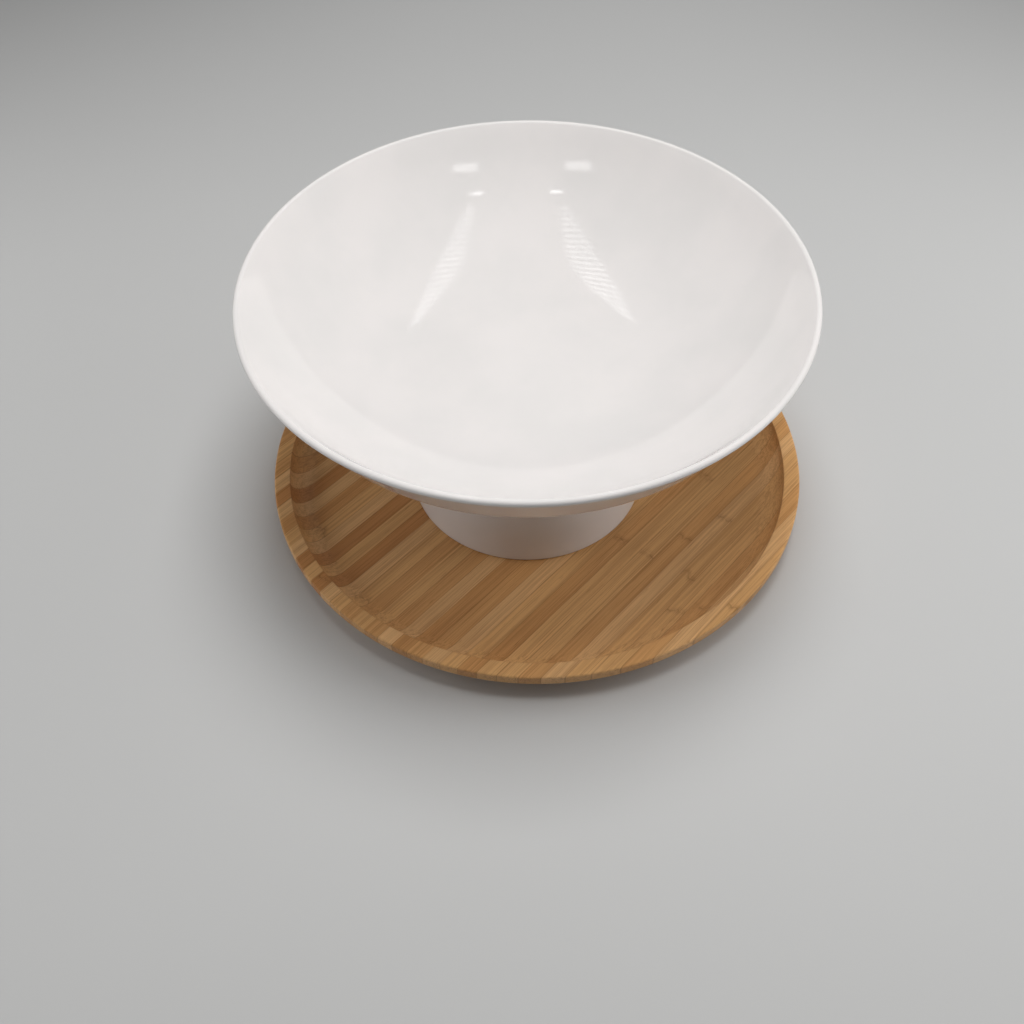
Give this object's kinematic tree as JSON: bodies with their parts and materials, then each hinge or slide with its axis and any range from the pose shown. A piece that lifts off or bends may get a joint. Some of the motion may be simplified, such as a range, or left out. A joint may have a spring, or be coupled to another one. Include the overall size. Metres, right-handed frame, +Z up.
{
  "type": "chip and dip server",
  "caption": "Wide white glazed pedestal bowl standing in a round, shallow tray of glued bamboo strips; the bowl lifts straight out for serving.",
  "frame": {"origin": "centre of the tray's flat underside, on the surface it stands on", "axes": "+Z up along the tray's axis, +X along the glued bamboo strips, +Y across them"},
  "size_m": [0.28, 0.28, 0.1386],
  "materials": {
    "white_glaze": "glossy clear glaze, unglazed foot ring",
    "bamboo_pale": "oiled satin bamboo, pale strips",
    "bamboo_honey": "oiled satin bamboo, honey strips",
    "bamboo_tan": "oiled satin bamboo, tan strips",
    "bamboo_brown": "oiled satin bamboo, brown strips",
    "bamboo_dark": "oiled satin bamboo, dark reddish strips"
  },
  "bodies": {
    "tray": {"bamboo_strip_01": "bamboo_honey", "bamboo_strip_02": "bamboo_pale", "bamboo_strip_03": "bamboo_tan", "bamboo_strip_04": "bamboo_honey", "bamboo_strip_05": "bamboo_honey", "bamboo_strip_06": "bamboo_pale", "bamboo_strip_07": "bamboo_tan", "bamboo_strip_08": "bamboo_honey", "bamboo_strip_09": "bamboo_honey", "bamboo_strip_10": "bamboo_brown", "bamboo_strip_11": "bamboo_honey", "bamboo_strip_12": "bamboo_pale", "bamboo_strip_13": "bamboo_tan", "bamboo_strip_14": "bamboo_brown", "bamboo_strip_15": "bamboo_pale", "bamboo_strip_16": "bamboo_tan", "bamboo_strip_17": "bamboo_honey", "bamboo_strip_18": "bamboo_tan", "bamboo_strip_19": "bamboo_honey", "bamboo_strip_20": "bamboo_pale", "bamboo_strip_21": "bamboo_dark", "bamboo_strip_22": "bamboo_honey", "bamboo_strip_23": "bamboo_dark", "bamboo_strip_24": "bamboo_pale", "bamboo_strip_25": "bamboo_honey", "bamboo_strip_26": "bamboo_brown", "bamboo_strip_27": "bamboo_pale", "bamboo_strip_28": "bamboo_dark", "bamboo_strip_29": "bamboo_pale", "bamboo_strip_30": "bamboo_tan", "bamboo_strip_31": "bamboo_honey", "bamboo_strip_32": "bamboo_tan", "bamboo_strip_33": "bamboo_pale", "bamboo_strip_34": "bamboo_honey", "bamboo_strip_35": "bamboo_tan"},
    "bowl": {"bowl": "white_glaze"}
  },
  "joints": [
    {"name": "bowl_lift", "type": "slide", "parent": "tray", "child": "bowl", "axis": [0, 0, 1], "range_m": [0, 0.06]}
  ]
}
